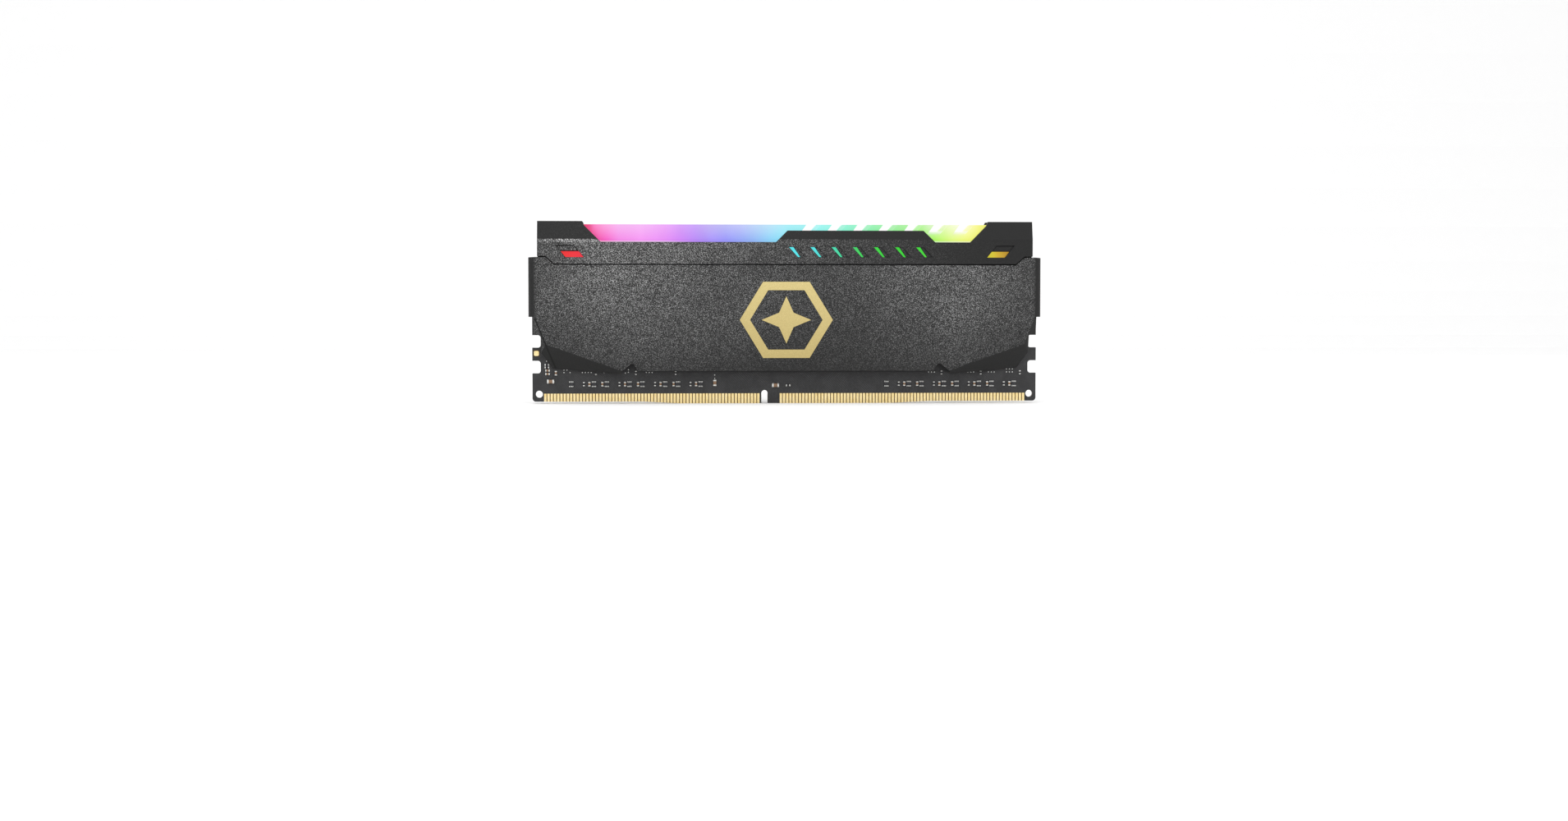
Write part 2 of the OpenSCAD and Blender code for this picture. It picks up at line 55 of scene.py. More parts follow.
class Shade:
    """A material being built: short calls that add nodes and return their outputs."""

    def __init__(self, name):
        self.material = bpy.data.materials.new(name)
        self.material.use_nodes = True
        self.tree = self.material.node_tree
        self.tree.nodes.clear()
        self.output = self.node("ShaderNodeOutputMaterial")
        self.shader = self.node("ShaderNodeBsdfPrincipled")
        self.tree.links.new(self.shader.outputs["BSDF"], self.output.inputs["Surface"])
        self.coords = self.node("ShaderNodeTexCoord")
        self.mm = self.scaled(self.coords.outputs["Object"], 1 / MM)

    def node(self, kind, **settings):
        made = self.tree.nodes.new(kind)
        for key, value in settings.items():
            setattr(made, key, value)
        return made

    def put(self, socket, value):
        if isinstance(value, bpy.types.NodeSocket):
            self.tree.links.new(value, socket)
        elif value is not None:
            socket.default_value = value

    def set(self, **values):
        """Principled inputs by name, with _ for a space."""
        for key, value in values.items():
            self.put(self.shader.inputs[key.replace("_", " ")], value)

    def scaled(self, vector, factor):
        made = self.node("ShaderNodeVectorMath", operation="SCALE")
        self.put(made.inputs[0], vector)
        made.inputs["Scale"].default_value = factor
        return made.outputs[0]

    def axes(self, vector=None):
        made = self.node("ShaderNodeSeparateXYZ")
        self.put(made.inputs[0], self.mm if vector is None else vector)
        return made.outputs[0], made.outputs[1], made.outputs[2]

    def math(self, operation, a, b=None, clamp=False):
        made = self.node("ShaderNodeMath", operation=operation, use_clamp=clamp)
        self.put(made.inputs[0], a)
        self.put(made.inputs[1], b)
        return made.outputs[0]

    def product(self, first, *others):
        for other in others:
            first = self.math("MULTIPLY", first, other)
        return first

    def largest(self, first, *others):
        for other in others:
            first = self.math("MAXIMUM", first, other)
        return first

    def distance_from(self, value, place):
        return self.math("ABSOLUTE", self.math("SUBTRACT", value, place))

    def ramp_value(self, value, low, high, to_low=0.0, to_high=1.0, smooth=True):
        """Maps value from low..high to to_low..to_high, held at both ends."""
        made = self.node(
            "ShaderNodeMapRange", interpolation_type="SMOOTHSTEP" if smooth else "LINEAR")
        for socket, given in zip(made.inputs[:5], (value, low, high, to_low, to_high)):
            self.put(socket, given)
        return made.outputs[0]

    def noise(self, scale, detail=2.0, roughness=0.5, vector=None):
        made = self.node("ShaderNodeTexNoise")
        self.put(made.inputs["Vector"], self.mm if vector is None else vector)
        made.inputs["Scale"].default_value = scale
        made.inputs["Detail"].default_value = detail
        made.inputs["Roughness"].default_value = roughness
        return made.outputs["Fac"]

    def noise_colour(self, scale):
        """Three noises at once, as a vector."""
        made = self.node("ShaderNodeTexNoise")
        self.put(made.inputs["Vector"], self.mm)
        made.inputs["Scale"].default_value = scale
        made.inputs["Detail"].default_value = 1.0
        return made.outputs["Color"]

    def stretched(self, x, y, z):
        """The place in millimetres, with each axis scaled by a factor of its own."""
        made = self.node("ShaderNodeVectorMath", operation="MULTIPLY")
        self.put(made.inputs[0], self.mm)
        made.inputs[1].default_value = (x, y, z)
        return made.outputs[0]

    def moved(self, offset):
        """The place in millimetres moved by a vector."""
        made = self.node("ShaderNodeVectorMath", operation="ADD")
        self.put(made.inputs[0], self.mm)
        self.put(made.inputs[1], offset)
        return made.outputs[0]

    def cells(self, scale, vector):
        """Distance to the nearest cell's centre, and a random number for that cell."""
        made = self.node("ShaderNodeTexVoronoi")
        self.put(made.inputs["Vector"], vector)
        made.inputs["Scale"].default_value = scale
        red = self.axes(made.outputs["Color"])[0]
        return made.outputs["Distance"], red

    def mix(self, factor, a, b):
        made = self.node("ShaderNodeMix", data_type="RGBA")
        self.put(made.inputs["Factor"], factor)
        self.put(made.inputs[6], a)
        self.put(made.inputs[7], b)
        return made.outputs[2]

    def colours(self, value, stops):
        """A colour ramp through (place, colour) stops, places from 0 to 1."""
        made = self.node("ShaderNodeValToRGB")
        elements = made.color_ramp.elements
        for element, (place, colour) in zip(elements, (stops[0], stops[-1])):
            element.position = place
            element.color = colour
        for place, colour in stops[1:-1]:
            elements.new(place).color = colour
        self.put(made.inputs[0], value)
        return made.outputs[0]

    def stripes(self, value, pitch, width, soft=0.06):
        """1 on lines of a width every pitch along value, 0 between them."""
        wave = self.math("PINGPONG", value, pitch / 2)
        return self.ramp_value(wave, width / 2 + soft, width / 2 - soft)

    def bump(self, height, distance, strength=1.0):
        made = self.node("ShaderNodeBump")
        self.put(made.inputs["Height"], height)
        made.inputs["Distance"].default_value = distance
        made.inputs["Strength"].default_value = strength
        self.put(self.shader.inputs["Normal"], made.outputs[0])

    def facing(self):
        """How squarely the surface faces front or rear: 1 on the plates, 0 on edges."""
        return self.math("ABSOLUTE", self.axes(self.coords.outputs["Normal"])[1])


def grey(level):
    return (level, level, level, 1.0)


def srgb(text):
    """A colour written as six hex digits, as linear RGBA."""
    parts = [int(text[i:i + 2], 16) / 255 for i in (0, 2, 4)]
    linear = [c / 12.92 if c <= 0.04045 else ((c + 0.055) / 1.055) ** 2.4 for c in parts]
    return (*linear, 1.0)


# ---------------------------------------------------------------- materials

# Strength of the coat's sparkle along the board, as (x in mm, strength), on the plates and on
# the top frames. This is painted reflection: where the coat catches more or less light.
PLATE_PAINTED_SHEEN = [
    (-67, 0.060), (-60, 0.081), (-52, 0.104), (-44, 0.114), (-36, 0.104), (-28, 0.087),
    (-20, 0.080), (-12, 0.068), (-3, 0.053), (5, 0.046), (12, 0.044), (20, 0.057),
    (28, 0.073), (36, 0.090), (44, 0.103), (52, 0.088), (60, 0.065), (67, 0.04),
]
FRAME_PAINTED_SHEEN = [
    (-67, 0.056), (-60, 0.079), (-52, 0.100), (-44, 0.103), (-36, 0.099), (-28, 0.090),
    (-20, 0.077), (-12, 0.066), (-4, 0.055), (4, 0.048), (12, 0.036), (20, 0.028),
    (28, 0.019), (36, 0.011), (44, 0.005), (52, 0.002), (67, 0.001),
]
COAT_SPAN = 68.0             # half of the length that these stops are spread over

# How much of the sparkle there is by height, as three (z in mm, share): painted reflection,
# brighter toward the top.
PLATE_SHEEN_RISE = [(7, 0.17), (22, 0.68), (33, 0.85)]
FRAME_SHEEN_RISE = [(37, 0.9), (40, 0.98), (43, 1.05)]

# A painted highlight, a brighter streak on the left of the top frame: its middle in X and Z, half
# its length and half its height in millimetres, and its strength.
GLINT = (-57, 42.75, 9, 0.7, 0.16)

COAT_GAIN = 6.4              # brightness of a full grain for each unit of sparkle
COAT_BLACK = 0.009           # brightness between the grains
# The faces without grain are kept dark as painted shade.
SHADED_FACE_SHARE = 0.04          # share of the grain left on the smooth faces
GRAIN_SCALE = 5.8            # grains of the coat in a millimetre
GRAIN_STRAY = 0.13           # how far the grains stray from a round shape, in millimetres

# Places on the spreaders and the top frames, in millimetres.
FOLD = [(-65.88, 22.6), (-62.95, 15.3)]      # the line, as (x, z), where the left side folds back
END_BEND = (65.3, 66.35)     # where the smooth bend at each end starts and is complete
TAB_HEIGHT = 15.6            # the end tabs reach this far down from the plate's top
WINDOW_TOP = 41.5            # the sunk part of each end window, above its opening
WINDOW_LINTEL = 39.95
WINDOW_SILL = 38.4
WINDOW_INNER = 53.05         # its inner side at the height of the sill
WINDOW_SLANT = 0.8           # how far that side moves out for each unit of height
HIGH_FACE = 4.25             # depth of the face of the top frames


def grain_of(s):
    """The coat's grain: small flecks of very different brightness, packed side by side."""
    stray = s.scaled(s.noise_colour(3.1), GRAIN_STRAY)
    distance, chance = s.cells(GRAIN_SCALE, s.moved(stray))
    fleck = s.ramp_value(distance, 0.7, 0.15)
    return s.math("MULTIPLY", fleck, s.math("ADD", s.math("POWER", chance, 2.2), 0.1))


def along_board(s, stops, span):
    """A number looked up by distance along the board, between (x in mm, number) stops."""
    x = s.axes()[0]
    place = s.ramp_value(x, -span, span, smooth=False)
    return s.colours(place, [((x0 + span) / (2 * span), grey(v)) for x0, v in stops])


def grained_faces_outside_shade(s):
    """1 on the faces that carry grain. The bevels of the top frame, the lower corners and the
    right-hand side are left without grain, and so are the bends at the ends: painted shade that
    keeps these faces, turned up, down and to the right and round the ends, dark."""
    nx, ny, nz = s.axes(s.coords.outputs["Normal"])
    x, _, z = s.axes()
    front = s.ramp_value(s.math("ABSOLUTE", ny), 0.70, 0.75)
    not_up = s.ramp_value(nz, 0.12, 0.05)
    not_down = s.ramp_value(nz, -0.38, -0.34)
    not_right = s.ramp_value(nx, 0.25, 0.12)
    flat, bent = END_BEND
    inside = s.ramp_value(s.math("ABSOLUTE", x), bent, flat)
    plate_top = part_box("heat_spreader_front")[1].z / MM
    below_tab = s.math("LESS_THAN", z, plate_top - TAB_HEIGHT)
    return s.product(front, not_up, not_down, not_right, s.largest(inside, below_tab))


def off_the_fold_shadow(s):
    """0 on the thin line of painted shadow where the left side of the plate folds back, 1
    elsewhere.
    """
    x, _, z = s.axes()
    (top_x, top_z), (foot_x, foot_z) = FOLD
    length = math.hypot(foot_x - top_x, foot_z - top_z)
    across = s.math(
        "ADD",
        s.math("MULTIPLY", s.math("SUBTRACT", x, top_x), (top_z - foot_z) / length),
        s.math("MULTIPLY", s.math("SUBTRACT", z, top_z), (foot_x - top_x) / length))
    beside = s.ramp_value(s.math("ABSOLUTE", across), 0.1, 0.3)
    beyond = s.ramp_value(z, top_z - 0.4, top_z + 0.2)
    return s.math("MAXIMUM", beside, beyond)


def off_the_recess_shade(s):
    """0 along the top, the inner side and the foot of the sunk part of each end window, where
    shade is painted as dark lines, 1 elsewhere."""
    x, y, z = s.axes()
    reach = s.math("ABSOLUTE", x)
    above_sill = s.math("SUBTRACT", z, WINDOW_SILL)
    inner_side = s.math("ADD", s.math("MULTIPLY", above_sill, WINDOW_SLANT), WINDOW_INNER)
    near_side = s.ramp_value(s.math("SUBTRACT", reach, inner_side), 0.35, 0.2)
    near_top = s.ramp_value(z, WINDOW_TOP - 0.3, WINDOW_TOP - 0.15)
    near_foot = s.ramp_value(z, WINDOW_LINTEL + 0.3, WINDOW_LINTEL + 0.15)
    edge = s.largest(near_side, near_top, near_foot)
    sunk = s.product(
        s.math("GREATER_THAN", reach, WINDOW_INNER - 1),
        s.math("LESS_THAN", s.math("ABSOLUTE", y), HIGH_FACE - 0.2),
        s.math("LESS_THAN", z, WINDOW_TOP + 0.1))
    return s.math("SUBTRACT", 1.0, s.math("MULTIPLY", edge, sunk))


def coat(name, sparkle, rise, clear, glint=None):
    """Black coat with a fine sparkling grain. The sparkle's strength is painted reflection: it
    follows its stops along the board and those of its rise in height; clear is the function that
    gives 0 on the lines of painted shadow, dark and without grain; glint is a painted highlight,
    a brighter streak, given as GLINT is."""
    s = Shade(name)
    x, _, z = s.axes()
    grain = grain_of(s)
    # 0 on the lines of painted shadow, which are left black
    off_lines = clear(s)
    (low_z, start), (mid_z, middle), (high_z, end) = rise
    by_height = s.math("ADD", s.ramp_value(z, low_z, mid_z, start, middle, smooth=False),
                       s.ramp_value(z, mid_z, high_z, 0.0, end - middle, smooth=False))
    # Painted reflection: how strongly the grain shines by place along the board and by height;
    # the glint adds a painted highlight
    strength = s.product(along_board(s, sparkle, COAT_SPAN), by_height)
    if glint:
        middle_x, middle_z, reach, height, gleam = glint
        near = s.ramp_value(s.distance_from(x, middle_x), reach, 0.6 * reach)
        level = s.ramp_value(s.distance_from(z, middle_z), height, 0.0)
        strength = s.math("ADD", strength, s.product(near, level, gleam))
    cloud = s.ramp_value(s.noise(0.07, 2.0, 0.5), 0.3, 0.7, 0.85, 1.15)
    raised = s.product(grain, s.largest(grained_faces_outside_shade(s), SHADED_FACE_SHARE), off_lines)
    s.set(
        Base_Color=s.math("ADD", s.product(raised, strength, cloud, COAT_GAIN),
                          s.product(off_lines, COAT_BLACK)),
        Roughness=s.ramp_value(raised, 0.0, 0.6, 0.5, 0.38),
        Metallic=0.0,
        Specular_IOR_Level=0.25,
    )
    s.bump(raised, 0.03 * MM, 0.5)
    return s.material


def gold_print():
    """Pale gold ink over the grained coat, which shows through it as fine dark pits. Its colour
    is painted lighter toward the top: painted light.
    """
    s = Shade("gold_print")
    grain = grain_of(s)
    low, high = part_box("emblem_front")
    # Painted light: the ink is lighter toward its top
    painted_light = s.ramp_value(s.axes()[2], low.z / MM, high.z / MM, smooth=False)
    base = s.mix(painted_light, srgb("b8a56a"), srgb("cdbb7e"))
    pits = s.ramp_value(grain, 0.12, 0.0, 0.0, 0.14)
    glints = s.ramp_value(grain, 0.4, 1.0, 0.0, 0.35)
    inked = s.mix(glints, s.mix(pits, base, srgb("7d6a30")), srgb("ead9a0"))
    s.set(
        Base_Color=inked,
        Metallic=0.2,
        Roughness=s.ramp_value(grain, 0.1, 0.8, 0.55, 0.36),
    )
    s.bump(grain, 0.02 * MM, 0.6)
    return s.material


# The board, in millimetres.
TRACE_PITCH, TRACE_WIDTH = 0.62, 0.2         # the slanted traces
RISER_PITCH, RISER_WIDTH = 0.85, 0.24        # the traces that rise from the contacts
PLY_PITCH, PLY_WIDTH = 0.2, 0.08             # the glass layers that show on its cut edges
KEY_X, KEY_CLEAR = -4.2, 2.7                 # the key notch, and the reach of the mask beside it
PLATE_FOOT = 7.95                            # where the shade under the plate starts
SHADE_REACH = 55.0                           # how far that shade reaches from the middle


def traces_of(s, contact_top):
    """1 on the copper lines under the mask: slanted both ways in patches, and upright ones just
    above the contacts."""
    x, _, z = s.axes()
    patch = s.ramp_value(s.noise(0.16, 0.0), 0.40, 0.44)
    hatch = s.math(
        "ADD",
        s.product(s.stripes(s.math("ADD", x, z), TRACE_PITCH, TRACE_WIDTH), patch),
        s.product(s.stripes(s.math("SUBTRACT", x, z), TRACE_PITCH, TRACE_WIDTH),
                  s.math("SUBTRACT", 1.0, patch)))
    depth = s.ramp_value(s.noise(0.3, 0.0), 0.4, 0.6, 0.35, 1.0)
    low_down = s.ramp_value(z, contact_top + 1.2, contact_top + 0.9)
    risers = s.product(s.stripes(x, RISER_PITCH, RISER_WIDTH), low_down, 0.4)
    return s.largest(s.product(hatch, depth), risers)


def solder_mask():
    """Black board: mask over fine copper traces, bare laminate on its cut edges, a brownish
    strip of bare board between the contacts, and a bare square round the fiducial pad."""
    s = Shade("solder_mask")
    x, y, z = s.axes()
    off_middle = s.math("ABSOLUTE", x)
    row_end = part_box("edge_contacts_front")[1] / MM
    traces = traces_of(s, row_end.z)
    speckle = s.ramp_value(s.noise(5.0, 1.0), 0.35, 0.75, -0.15, 0.3)
    marks = s.math("ADD", s.product(traces, 0.75), speckle, clamp=True)
    mask_tone = s.mix(marks, srgb("1d1d1e"), srgb("404042"))
    shade = s.product(s.ramp_value(z, PLATE_FOOT, PLATE_FOOT + 0.35),
                      s.ramp_value(off_middle, SHADE_REACH, SHADE_REACH - 1.5))
    mask_tone = s.mix(shade, mask_tone, srgb("161617"))
    between_contacts = s.product(
        s.math("LESS_THAN", off_middle, row_end.x),
        s.ramp_value(z, row_end.z + 0.05, row_end.z - 0.05),
        s.ramp_value(s.distance_from(x, KEY_X), KEY_CLEAR, KEY_CLEAR + 0.1))
    pad_low, pad_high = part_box("fiducial_pad")
    pad = (pad_low + pad_high) / 2 / MM
    reach = s.largest(s.distance_from(x, pad.x), s.distance_from(z, pad.z))
    near_pad = s.product(s.ramp_value(reach, 1.0, 0.8), s.math("LESS_THAN", y, 0.0))
    front = s.mix(near_pad, s.mix(between_contacts, mask_tone, srgb("665026")), srgb("3a2c16"))
    plies = s.mix(s.stripes(y, PLY_PITCH, PLY_WIDTH), srgb("3a352b"), srgb("524936"))
    face = s.ramp_value(s.facing(), 0.3, 0.7)
    s.set(
        Base_Color=s.mix(face, plies, front),
        Roughness=s.ramp_value(s.noise(1.5, 2.0), 0.3, 0.7, 0.38, 0.5),
        Specular_IOR_Level=0.4,
    )
    s.bump(s.math("MULTIPLY", traces, face), 0.02 * MM, 0.6)
    return s.material


def gold_plate():
    """Bright gold plating with faint upright wiping marks."""
    s = Shade("gold_plate")
    streak = s.noise(1.0, 3.0, 0.6, s.stretched(9.0, 1.0, 0.6))
    s.set(
        Base_Color=s.mix(s.ramp_value(streak, 0.35, 0.65), srgb("f0d38c"), srgb("fbe9b8")),
        Metallic=0.85,
        Roughness=s.ramp_value(streak, 0.3, 0.7, 0.2, 0.34),
    )
    s.bump(streak, 0.004 * MM, 0.5)
    return s.material


# The spectrum of the lit pieces, by distance from the middle of the board in millimetres: near
# the light bar's top edge, low on its visible face, and behind the windows and slits.
BAR_HIGH = [
    (-55, "e8406c"), (-52.2, "f0407c"), (-51.2, "f05a9c"), (-50.3, "ff80c6"), (-48, "fe9ddc"),
    (-44, "feb8f7"), (-38, "ffbdff"),
    (-32, "f3abfe"), (-28, "dda2fd"), (-24, "cca4fd"), (-20, "c8b8fd"), (-16, "bfbffd"),
    (-12, "c3c9ff"), (-8, "c0dafe"), (-4, "bce8fe"), (1, "abf6fe"), (9, "a4fbf6"),
    (16, "98f8d8"), (24, "a0fab6"), (31, "b0f9a6"), (35.8, "b8f99a"), (38.2, "dcfcc4"),
    (42, "eafdbc"), (45.6, "fbffdc"), (48.5, "fefeb8"), (51, "fdfd8c"), (53, "fcfb78"),
    (56, "fbf06a"),
]
BAR_DEEP = [
    (-55, "e83060"), (-51.5, "ee3a78"), (-50, "f04292"), (-49.1, "fa56b2"), (-47, "ff68d0"),
    (-44, "fe90f0"), (-38, "ff9ffe"),
    (-32, "ef95ff"), (-28, "d98bff"), (-24, "c08eff"), (-20, "ae97ff"), (-16, "9c99fd"),
    (-12, "9cadff"), (-8, "9ac2ff"), (-4, "92daff"), (1, "8af0ff"), (9, "7cf6f0"),
    (16, "74f4c8"), (24, "7cf69a"), (32, "90fb7c"), (39, "b0fb62"), (44, "e4fe84"),
    (48, "f6fe7c"), (53, "fcf866"), (56, "f8e858"),
]
BAR_WINDOWS = [
    (-60, "ff3c3c"), (-57, "ff3a40"), (-52, "ff3c50"), (-48, "ff4aa0"), (0, "60f6ff"),
    (2.0, "64f8ff"), (7.5, "60f6f6"), (13.2, "56eebc"), (18.7, "50e872"), (24.3, "4aea50"),
    (30, "48ea46"), (36, "4eec48"), (46, "b8e040"), (53, "e2da40"), (54.9, "e6d23a"),
    (56, "e2bc36"), (58.5, "c89a34"),
]
BAR_SPAN = 64.0              # half of the length that these stops are spread over
BAR_FADE = (43.2, 46.6)      # heights between which the low colours turn into the high ones
BAR_FOOT = 41.8              # below this height the bar shows only through windows and slits
GLOW_POWER = 0.78            # brightness of the bar, and how far it strays from that
GLOW_STRAY = 0.03
WINDOW_REACH = 59.6          # the bar is dark beyond the windows, and below their lower edges
WINDOW_FOOT = 38.0
STEP_FACE = 1.6              # depth of the shallow step round each notch of the bar
STEP_WHITENS = (44.2, 45.3)  # heights between which these steps turn white, and how white
STEP_WHITE = 0.65
STEP_FADES = (45.2, 45.7)    # heights between which they lose most of that again, and how much
STEP_FADE = 0.5
SHELF = [                    # height of the frame's top edge along the light bar
    (-52.8, 46.8), (-48.6, 42.4), (-2.7, 42.4), (0.35, 45.45), (36.2, 45.45), (39.3, 42.4),
    (48.6, 42.4), (52.8, 46.8),
]
SHELF_UNIT = 50.0            # a ramp holds 0 to 1, so the heights go through it in this unit
SHELF_END = 48.6             # the level parts of that edge end here
# The seam's whiteness is a painted highlight where the bar meets the frame's edge.
SEAM_STRENGTH = 0.45         # how white the seam is along the level parts
SEAM_REACH = 0.2             # how far it reaches above and below the edge
SEAM_LEFT = (-22, -34)       # it comes in gradually toward the left, between these places,
SEAM_RIGHT = 39.2            # and shows again to the right of this one


def spectrum(s, stops):
    """A colour looked up by distance along the board."""
    x = s.axes()[0]
    along = s.ramp_value(x, -BAR_SPAN, BAR_SPAN, smooth=False)
    return s.colours(
        along, [((place + BAR_SPAN) / (2 * BAR_SPAN), srgb(c)) for place, c in stops])


def glow_colour(s):
    """The light bar's colour at a point of any piece, as a node output."""
    z = s.axes()[2]
    bar = s.mix(s.ramp_value(z, *BAR_FADE, smooth=False),
                spectrum(s, BAR_DEEP), spectrum(s, BAR_HIGH))
    return s.mix(s.math("GREATER_THAN", z, BAR_FOOT), spectrum(s, BAR_WINDOWS), bar)


def seam_highlight(s):
    """Painted highlight: how white the bar is where it meets the level parts of the frame's top
    edge.
    """
    x, _, z = s.axes()
    shelf = along_board(s, [(place, height / SHELF_UNIT) for place, height in SHELF], BAR_SPAN)
    above = s.math("SUBTRACT", z, s.math("MULTIPLY", shelf, SHELF_UNIT))
    close = s.product(s.ramp_value(above, 2 * SEAM_REACH, SEAM_REACH),
                      s.math("GREATER_THAN", above, -SEAM_REACH))
    level_part = s.ramp_value(s.math("ABSOLUTE", x), SHELF_END + 0.3, SHELF_END)
    at_ends = s.largest(s.ramp_value(x, *SEAM_LEFT), s.math("GREATER_THAN", x, SEAM_RIGHT))
    return s.product(close, level_part, at_ends, SEAM_STRENGTH)


def frosted_light():
    """Frosted guide lit from below: full colour low down, washed out toward the top and on the
    thin steps round its notches, with a painted highlight at the seam where it meets the frame's
    edge."""
    s = Shade("frosted_light")
    x, y, z = s.axes()
    thin = s.product(
        s.math("LESS_THAN", s.math("ABSOLUTE", y), STEP_FACE + 0.12),
        s.math("SUBTRACT", s.ramp_value(z, *STEP_WHITENS, 0.0, STEP_WHITE),
               s.ramp_value(z, *STEP_FADES, 0.0, STEP_FADE)))
    washed = s.mix(s.largest(seam_highlight(s), thin), glow_colour(s), grey(1.0))
    dark = s.largest(s.math("GREATER_THAN", s.math("ABSOLUTE", x), WINDOW_REACH),
                     s.math("LESS_THAN", z, WINDOW_FOOT))
    lit = s.mix(dark, washed, grey(0.0))
    cloud = s.ramp_value(
        s.noise(0.12, 2.0), 0.3, 0.7, GLOW_POWER - GLOW_STRAY, GLOW_POWER + GLOW_STRAY)
    s.set(
        Base_Color=s.mix(0.88, lit, grey(0.01)),
        Roughness=s.ramp_value(s.noise(3.0, 2.0), 0.3, 0.7, 0.4, 0.55),
        Emission_Color=lit,
        Emission_Strength=cloud,
        Specular_IOR_Level=0.15,
    )
    s.bump(s.noise(6.0, 2.0), 0.004 * MM, 0.5)
    return s.material


def moulded(name, dark, light, roughness, spots=8.0, level=0.4):
    """Plain moulded or ceramic surface with fine mottling."""
    s = Shade(name)
    mottle = s.ramp_value(s.noise(spots, 3.0, 0.6), 0.3, 0.7)
    s.set(
        Base_Color=s.mix(mottle, srgb(dark), srgb(light)),
        Roughness=s.ramp_value(mottle, 0.0, 1.0, roughness, roughness + 0.12),
        Specular_IOR_Level=level,
    )
    s.bump(mottle, 0.006 * MM, 0.5)
    return s.material


def tin():
    """Dull bright solder and tinned ends."""
    s = Shade("tin_solder")
    mottle = s.noise(6.0, 2.0)
    s.set(
        Base_Color=s.mix(mottle, srgb("bcbdba"), srgb("ecece9")),
        Metallic=0.35,
        Roughness=s.ramp_value(mottle, 0.3, 0.7, 0.22, 0.4),
    )
    s.bump(mottle, 0.01 * MM, 0.5)
    return s.material


def led_lens():
    """White package whose lens shines in the colour of its place on the bar."""
    s = Shade("led_lens")
    _, _, z = s.axes()
    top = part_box("colour_led_1")[1].z / MM
    lens = s.ramp_value(z, top - 0.5, top - 0.1)
    s.set(
        Base_Color=srgb("e6e6e0"),
        Roughness=s.ramp_value(s.noise(4.0), 0.3, 0.7, 0.3, 0.45),
        Emission_Color=glow_colour(s),
        Emission_Strength=s.math("MULTIPLY", lens, 2.0),
    )
    return s.material


RULE = (0.7, 0.95)           # the label's rule, as distances in from its edge in millimetres


def paper_label():
    """Blank satin label with a thin grey rule round it."""
    s = Shade("paper_label")
    x, _, z = s.axes()
    low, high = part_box("rear_label")
    middle = (low + high) / 2 / MM
    half = (high - low) / 2 / MM
    from_side = s.math("SUBTRACT", half.x, s.distance_from(x, middle.x))
    from_top = s.math("SUBTRACT", half.z, s.distance_from(z, middle.z))
    inward = s.math("MINIMUM", from_side, from_top)
    outer, inner = RULE
    rule = s.product(s.math("GREATER_THAN", inward, outer), s.math("LESS_THAN", inward, inner))
    fibre = s.ramp_value(s.noise(7.0, 3.0), 0.3, 0.7)
    paper = s.mix(fibre, srgb("d6d6d2"), srgb("e6e6e2"))
    s.set(
        Base_Color=s.mix(rule, paper, srgb("77777a")),
        Roughness=s.ramp_value(fibre, 0.0, 1.0, 0.42, 0.55),
    )
    s.bump(fibre, 0.006 * MM, 0.5)
    return s.material


# ---------------------------------------------------------------- pieces

WELD = 1e-3 * MM                    # vertices closer than this are one
FLAT_TURN = math.radians(0.3)       # faces that turn less than this are one
LEAST_CREASE = math.radians(9)      # a smaller turn between two faces is left alone
CURVE_STEP = math.radians(28)       # the largest step between the strips of a curved wall
CURVE_STRIP = 0.7 * MM              # the widest such strip


def paint(obj, material):
    obj.data.materials.clear()
    obj.data.materials.append(material)


def linked(name, data):
    """A new object in the scene."""
    obj = bpy.data.objects.new(name, data)
    bpy.context.scene.collection.objects.link(obj)
    return obj


def add_piece(name, bm, materials, replaced=()):
    """Turns a bmesh into a piece that rides on the module's one body."""
    mark_creases(bm)
    mesh = bpy.data.meshes.new(name)
    bm.to_mesh(mesh)
    bm.free()
    for material in materials:
        mesh.materials.append(material)
    obj = linked(name, mesh)
    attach(obj, "root")
    if replaced:
        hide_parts(*replaced)
    return obj


def welded(node):
    """A CAD node's mesh as a bmesh, its split vertices joined and its flat faces whole."""
    bm = bmesh.new()
    bm.from_mesh(NODES[node].data)
    bmesh.ops.remove_doubles(bm, verts=bm.verts, dist=WELD)
    bmesh.ops.dissolve_limit(bm, angle_limit=FLAT_TURN, verts=bm.verts, edges=bm.edges)
    return bm


def mark_creases(bm):
    """Marks the edges to round: every corner but the small steps round a curved wall."""
    mark = bm.edges.layers.float.new("bevel_weight_edge")
    for edge in bm.edges:
        if len(edge.link_faces) != 2:
            continue
        angle = edge.calc_face_angle()
        width = min(
            face.calc_area() / max(side.calc_length() for side in face.edges)
            for face in edge.link_faces)
        curved = angle < CURVE_STEP and width < CURVE_STRIP
        if angle > LEAST_CREASE and not curved:
            edge[mark] = 1.0


def soften(obj, width, segments=3):
    """Rounds an object's marked edges and keeps its flat faces flat in shading."""
    for polygon in obj.data.polygons:
        polygon.use_smooth = True
    bevel = obj.modifiers.new("edges", "BEVEL")
    bevel.width = width
    bevel.segments = segments
    bevel.limit_method = "WEIGHT"
    bevel.use_clamp_overlap = False
    bevel.miter_outer = "MITER_SHARP"
    weights = obj.modifiers.new("shading", "WEIGHTED_NORMAL")
    weights.mode = "FACE_AREA"
    weights.weight = 100
    weights.thresh = 0.01


def rounded_copy(node, material, width):
    """Replaces a CAD node by a copy of it whose edges are rounded by a width."""
    soften(add_piece(node + "_finish", welded(node), [material], [node]), width)


